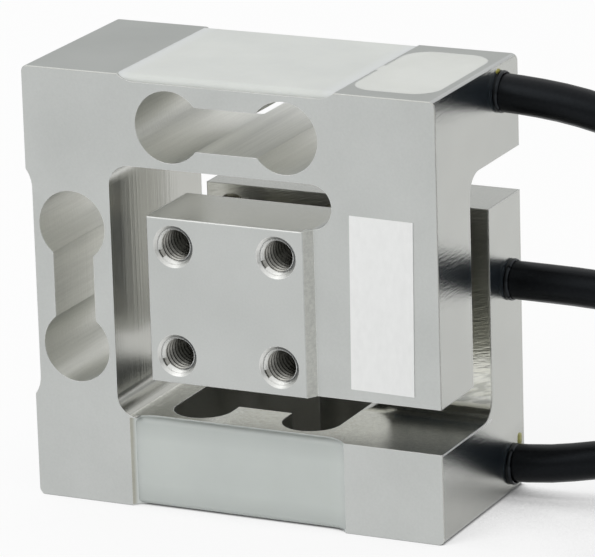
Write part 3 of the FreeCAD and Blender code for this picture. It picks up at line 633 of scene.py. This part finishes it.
def aluminium():
    """Satin outer faces, a brushed right side, brighter milled walls inside, and edges paler from wear and a
    painted highlight.

    The lower part of the round on the top right edge is shaded as the flat right side, to keep it crisp.
    """
    made, tree, shader, place = material("machined_aluminium")
    at = add(tree, "SeparateXYZ", {0: place}).outputs
    flat = add(tree, "NewGeometry").outputs["True Normal"]
    region = body_regions(tree, at, add(tree, "SeparateXYZ", {0: flat}).outputs)
    edges = add(tree, "Bevel", {"Radius": EDGE_RADIUS}, samples=4).outputs["Normal"]
    turn = add(tree, "VectorMath", {0: flat, 1: edges}, operation="DOT_PRODUCT").outputs["Value"]
    # edges paler from wear and a painted highlight
    wear_and_highlight = fade(tree, turn, *WEAR_AND_HIGHLIGHT_TURN)

    fine = grain(tree, place, 3600, detail=4)
    cloud = grain(tree, place, 90, detail=3)
    along = grain(tree, place, 2600, (1, 0.03, 1), detail=4)
    upright = grain(tree, place, 2600, (1, 1, 0.006), detail=3)
    band = grain(tree, place, 420, (1, 0.04, 1), detail=1)
    speck = grain(tree, place, 2200, detail=5, roughness=0.7)
    tilted = add(tree, "Mapping", {"Vector": place, "Rotation": (0, math.radians(14), 0)}).outputs[0]
    ripple = grain(tree, tilted, 4200, (0.15, 1, 1), detail=1)
    swell = grain(tree, tilted, 2000, (0.2, 1, 1), detail=2)
    turned = add(tree, "Mapping", {"Vector": place, "Rotation": (math.radians(-4), 0, 0)}).outputs[0]
    scratch = grain(tree, turned, 5500, (1, 0.08, 1), detail=3)
    tone = weighed(tree, [(cloud, 0.6), (fine, 0.4)])
    drawn_tone = weighed(tree, [(band, 0.5), (along, 0.3), (fine, 0.2)])

    def shade(name, source=tone, limits=SOFT):
        return ramp(tree, source, *TONES[name], *limits)

    colour = shade("satin")
    for mask, finish in (
        (region["top"], shade("top")),
        (region["right"], shade("right")),
        (region["right_foot_shade"], shade("right_foot_shade")),
        (region["inside"], shade("inside")),
        (region["rearward_shade"], shade("rearward_shade")),
        (region["low_wall_shade"], shade("low_wall_shade")),
        (region["platform_top"], shade("platform_top", fine)),
        (region["slot_floor"], shade("slot_floor", speck, FIRM)),
        (region["deep"], shade("deep")),
        (region["rear_foot"], shade("rear_foot", swell, CRISP)),
        (region["hole"], shade("hole", drawn_tone, FIRM)),
        (region["recess"], blend(tree, region["smeared"], shade("seam_shade"), SMEARED_SILICONE)),
        (region["blunt_painted_light"], shade("blunt_painted_light", speck, FIRM)),
        (region["cone"], shade("cone")),
        (either(tree, [region["lip"], wear_and_highlight]), shade("wear_and_highlight")),
        (region["crest_highlight"], shade("crest_highlight")),
    ):
        colour = blend(tree, mask, colour, finish)
    link(tree, colour, shader, "Base Color")
    shares = [(region[name], share) for name, share in ROUGHNESS.items()]
    rough = weighed(tree, [*shares, (wear_and_highlight, WORN_ROUGHNESS), (fine, FINE_ROUGHNESS)])
    link(tree, calc(tree, "ADD", rough, LEAST_ROUGHNESS), shader, "Roughness")
    shader.inputs["Metallic"].default_value = 1.0
    shader.inputs["Sheen Weight"].default_value = 0.06
    shader.inputs["Sheen Tint"].default_value = (0.45, 0.7, 1.0, 1.0)

    drawn = calc(tree, "SUBTRACT", region["inside"], region["wall"])
    height = weighed(tree, [
        (fine, 0.5),
        (both(tree, [along, drawn]), 1.5),
        (both(tree, [along, region["hole"]]), -0.8),
        (both(tree, [upright, region["wall"]]), 2.6),
        (both(tree, [scratch, region["right"]]), 2.3),
        (both(tree, [fine, region["right"]]), 1.2),
        (both(tree, [ripple, region["rear_wall"]]), 5.0),
        (both(tree, [swell, region["rear_wall_low"]]), 5.0),
        (both(tree, [speck, region["slot_floor"]]), 1.5),
    ])
    leaned = blend(tree, region["shoulder"], edges, (1, 0, 0, 1))
    bump(tree, shader, height, 0.25, 0.00004, Normal=leaned)
    return made


def thread_metal():
    """The flanks of the thread, with painted shade further in and painted light at the inner end of the rear
    holes.
    """
    made, tree, shader, place = material("thread_metal")
    fine = grain(tree, place, 2400, detail=3)
    along = add(tree, "SeparateXYZ", {0: place}).outputs["Y"]
    shaded_depth = fade(tree, calc(tree, "ABSOLUTE", along), *SHADED_DEPTH_Y)
    behind = calc(tree, "GREATER_THAN", along, 0.0)
    lit_inner_end = both(tree, [behind, fade(tree, along, *LIT_INNER_END_Y)])
    mouth = ramp(tree, fine, (0.34, 0.335, 0.31), (0.52, 0.515, 0.48), *SOFT)
    # painted shade: the dark tone deep in the holes
    depth_shade = ramp(tree, fine, (0.035, 0.035, 0.03), (0.08, 0.08, 0.07), *SOFT)
    # painted light: the paler tone at the inner end of the rear holes
    inner = ramp(tree, fine, (0.50, 0.48, 0.40), (0.66, 0.64, 0.55), *SOFT)
    colour = blend(tree, shaded_depth, mouth, depth_shade)
    link(tree, blend(tree, lit_inner_end, colour, inner), shader, "Base Color")
    link(tree, span(tree, fine, 0.22, 0.36), shader, "Roughness")
    shader.inputs["Metallic"].default_value = 1.0
    bump(tree, shader, fine, 0.2, 0.00004)
    return made


def silicone(name, pale, deep, strip=None):
    """Set silicone, with another tone towards two edges if it is a strip.

    A strip has the axis across it, its middle and half width there, the share that stays plain, and the tone.
    """
    made, tree, shader, place = material(name)
    cloud = grain(tree, place, 120, detail=4)
    colour = ramp(tree, cloud, deep, pale, *SOFT)
    if strip:
        axis, middle, half, plain, tone = strip
        where = add(tree, "SeparateXYZ", {0: place}).outputs[axis]
        off = calc(tree, "ABSOLUTE", calc(tree, "SUBTRACT", where, middle))
        colour = blend(tree, fade(tree, off, plain * half, half), colour, (*tone, 1))
    link(tree, colour, shader, "Base Color")
    link(tree, span(tree, grain(tree, place, 500), 0.34, 0.5), shader, "Roughness")
    shader.inputs["Subsurface Weight"].default_value = 0.2
    shader.inputs["Subsurface Radius"].default_value = (1.0, 1.0, 0.9)
    shader.inputs["Subsurface Scale"].default_value = 0.0012
    bump(tree, shader, grain(tree, place, 260, detail=2), 0.12, 0.0004)
    return made


def jacket(name, dark, light, rough, shine):
    """Plastic sheath with a fine moulded grain."""
    made, tree, shader, place = material(name)
    fine = grain(tree, place, 2600, detail=4)
    link(tree, ramp(tree, fine, dark, light, 0.35, 0.75), shader, "Base Color")
    link(tree, span(tree, grain(tree, place, 700), rough - 0.06, rough + 0.08), shader, "Roughness")
    shader.inputs["Specular IOR Level"].default_value = shine
    shader.inputs["Specular Tint"].default_value = (0.8, 0.9, 1.0, 1.0)
    bump(tree, shader, fine, 0.2, 0.00005)
    return made


def paper():
    """The label's white paper."""
    made, tree, shader, place = material("label_paper")
    fibre = grain(tree, place, 1800, (1, 1, 0.4), detail=5)
    link(tree, ramp(tree, fibre, (0.88, 0.885, 0.875), (0.92, 0.925, 0.915), *SOFT), shader, "Base Color")
    link(tree, span(tree, fibre, 0.38, 0.5), shader, "Roughness")
    bump(tree, shader, fibre, 0.08, 0.00003)
    return made


def adhesive(name, deep, pale):
    """Yellowed adhesive."""
    made, tree, shader, place = material(name)
    cloud = grain(tree, place, 900)
    link(tree, ramp(tree, cloud, deep, pale, *SOFT), shader, "Base Color")
    link(tree, span(tree, cloud, 0.2, 0.4), shader, "Roughness")
    shader.inputs["Specular IOR Level"].default_value = 0.15
    bump(tree, shader, cloud, 0.3, 0.0002)
    return made


def strap():
    """The coil ties' woven black strap."""
    made, tree, shader, place = material("woven_strap")
    threads = {"Vector": place, "Scale": 550.0, "Distortion": 0.6}
    waves = [add(tree, "TexWave", threads, bands_direction=way).outputs["Fac"] for way in ("X", "Z")]
    weave = calc(tree, "MULTIPLY", *waves)
    link(tree, ramp(tree, weave, (0.012, 0.012, 0.013), (0.05, 0.05, 0.053)), shader, "Base Color")
    link(tree, span(tree, weave, 0.7, 0.9), shader, "Roughness")
    bump(tree, shader, weave, 0.5, 0.0002)
    return made


def board():
    """The terminal board's green solder resist."""
    made, tree, shader, place = material("solder_resist")
    cloud = grain(tree, place, 700)
    link(tree, ramp(tree, cloud, (0.01, 0.12, 0.04), (0.02, 0.2, 0.07)), shader, "Base Color")
    link(tree, span(tree, cloud, 0.25, 0.4), shader, "Roughness")
    return made


def foil():
    """The strain gauges' film with its foil lines."""
    made, tree, shader, place = material("gauge_film")
    lines = add(tree, "TexWave", {"Vector": place, "Scale": 900.0}, bands_direction="Y").outputs["Fac"]
    link(tree, ramp(tree, lines, (0.5, 0.26, 0.06), (0.62, 0.42, 0.2)), shader, "Base Color")
    link(tree, span(tree, lines, 0.3, 0.5), shader, "Roughness")
    return made


def dress(name, made):
    """Give a CAD node its material."""
    for slot in nodes[name].material_slots:
        slot.material = made


def dress_silicone():
    """Give the silicone over the gauges and in the wiring pocket its materials."""
    low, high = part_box("top_gauge_sealant")
    # the top strip's paler ends are a painted highlight
    strip = ("X", (low.x + high.x) / 2, (high.x - low.x) / 2, TOP_PLAIN_SHARE, TOP_SILICONE_EDGE_HIGHLIGHT)
    dress("top_gauge_sealant", silicone("top_silicone", *TOP_SILICONE, strip))
    strip = ("Y", *LEFT_STRIP, SIDE_PLAIN_SHARE, SIDE_SILICONE_EDGE)
    dress("left_gauge_sealant", silicone("left_silicone", *SIDE_SILICONE, strip))
    strip = ("Z", *LOWER_STRIP, SIDE_PLAIN_SHARE, SIDE_SILICONE_EDGE)
    lower = silicone("lower_silicone", *SIDE_SILICONE, strip)
    for where in ("lower_front", "lower_rear"):
        dress(where + "_gauge_sealant", lower)
    dress("wiring_pocket_sealant", silicone("pocket_silicone", *POCKET_SILICONE))


def dress_all(cords, threads, smears):
    """Give every piece its material."""
    metal = aluminium()
    dress("sensor_body", metal)
    flanks = thread_metal()
    for thread in threads:
        thread.data.materials.append(metal)
        thread.data.materials.append(flanks)
    dress_silicone()
    sheath = jacket("cable_sheath", *BLACK, 0.34, 0.165)
    potting = jacket("potting", *BLACK, 0.16, 0.32)
    for name in ROUTES:
        dress(name + "_bead", potting)
    sleeves = {colour: jacket(colour + "_sleeve", *tones, 0.4, 0.5) for colour, tones in LEAD_TONES.items()}
    for cord, leads in cords:
        cord.data.materials.append(sheath)
        for colour, lead in leads:
            lead.data.materials.append(sleeves[colour])
    dark = adhesive("dark_adhesive", (0.24, 0.215, 0.03), (0.42, 0.385, 0.09))
    smears["top_adhesive"].data.materials.append(dark)
    light = adhesive("old_adhesive", (0.45, 0.43, 0.10), (0.70, 0.68, 0.26))
    smears["lower_adhesive"].data.materials.append(light)
    dress("blank_label", paper())
    woven = strap()
    for number in (1, 2, 3):
        dress(f"coil_tie_{number}", woven)
    dress("terminal_board", board())
    film = foil()
    for where in ("top", "left", "lower_front", "lower_rear"):
        dress(where + "_strain_gauges", film)


def make_floor():
    """A white floor, dark only where the object covers it and a little where its shadow falls."""
    mesh = bpy.data.meshes.new("floor")
    ways = ((-1, -1), (1, -1), (1, 1), (-1, 1))
    mesh.from_pydata([(x * FLOOR_HALF, y * FLOOR_HALF, 0) for x, y in ways], [], [(0, 1, 2, 3)])
    floor = bpy.data.objects.new("floor", mesh)
    scene.collection.objects.link(floor)
    made = bpy.data.materials.new("floor")
    made.use_nodes = True
    tree = made.node_tree
    tree.nodes.clear()
    path = add(tree, "LightPath").outputs
    seen = either(tree, [path["Is Camera Ray"], path["Is Glossy Ray"], path["Is Transmission Ray"]])
    matte = add(tree, "BsdfDiffuse", {"Color": (0.9, 0.9, 0.9, 1)})
    open_sky = add(tree, "AmbientOcclusion", {"Distance": SHADOW_REACH}, samples=8).outputs["AO"]
    free = add(tree, "MapRange", {"Value": open_sky, **SHADOW}).outputs[0]
    white = add(tree, "Emission", {"Color": (1, 1, 1, 1), "Strength": free})
    share = calc(tree, "MULTIPLY", seen, FLOOR_GLOW)
    mixed = add(tree, "MixShader", {0: share, 1: matte.outputs[0], 2: white.outputs[0]})
    output = add(tree, "OutputMaterial")
    tree.links.new(mixed.outputs[0], output.inputs["Surface"])
    mesh.materials.append(made)


def make_light():
    """A sky that is paler overhead, and one soft lamp from the upper left."""
    world = bpy.data.worlds.new("studio")
    scene.world = world
    world.use_nodes = True
    tree = world.node_tree
    tree.nodes.clear()
    way = add(tree, "SeparateXYZ", {0: add(tree, "TexCoord").outputs["Generated"]}).outputs["Z"]
    colour = ramp(tree, way, SKY_LOW, SKY_HIGH, *SKY_SPAN)
    sky = add(tree, "Background", {"Color": colour, "Strength": 1.0})
    output = add(tree, "OutputWorld")
    tree.links.new(sky.outputs[0], output.inputs["Surface"])

    lamp = bpy.data.lights.new("softbox", "AREA")
    lamp.shape = "RECTANGLE"
    lamp.size = LAMP_SIZE
    lamp.size_y = LAMP_SIZE
    lamp.energy = LAMP_POWER
    box = bpy.data.objects.new("softbox", lamp)
    box.location = LAMP_PLACE
    box.rotation_euler = (Vector(LAMP_AIM) - box.location).to_track_quat("-Z", "Y").to_euler()
    scene.collection.objects.link(box)


make_camera()
cables = [make_cable(name, level) for level, name in enumerate(ROUTES)]
screw_threads = [make_threads("front_threads", -1), make_threads("rear_threads", 1)]
glue_marks = {name: make_smear(name, *shape) for name, shape in SMEARS.items()}
dress_all(cables, screw_threads, glue_marks)
make_floor()
make_light()
scene.view_settings.view_transform = "Standard"
bpy.context.view_layer.update()
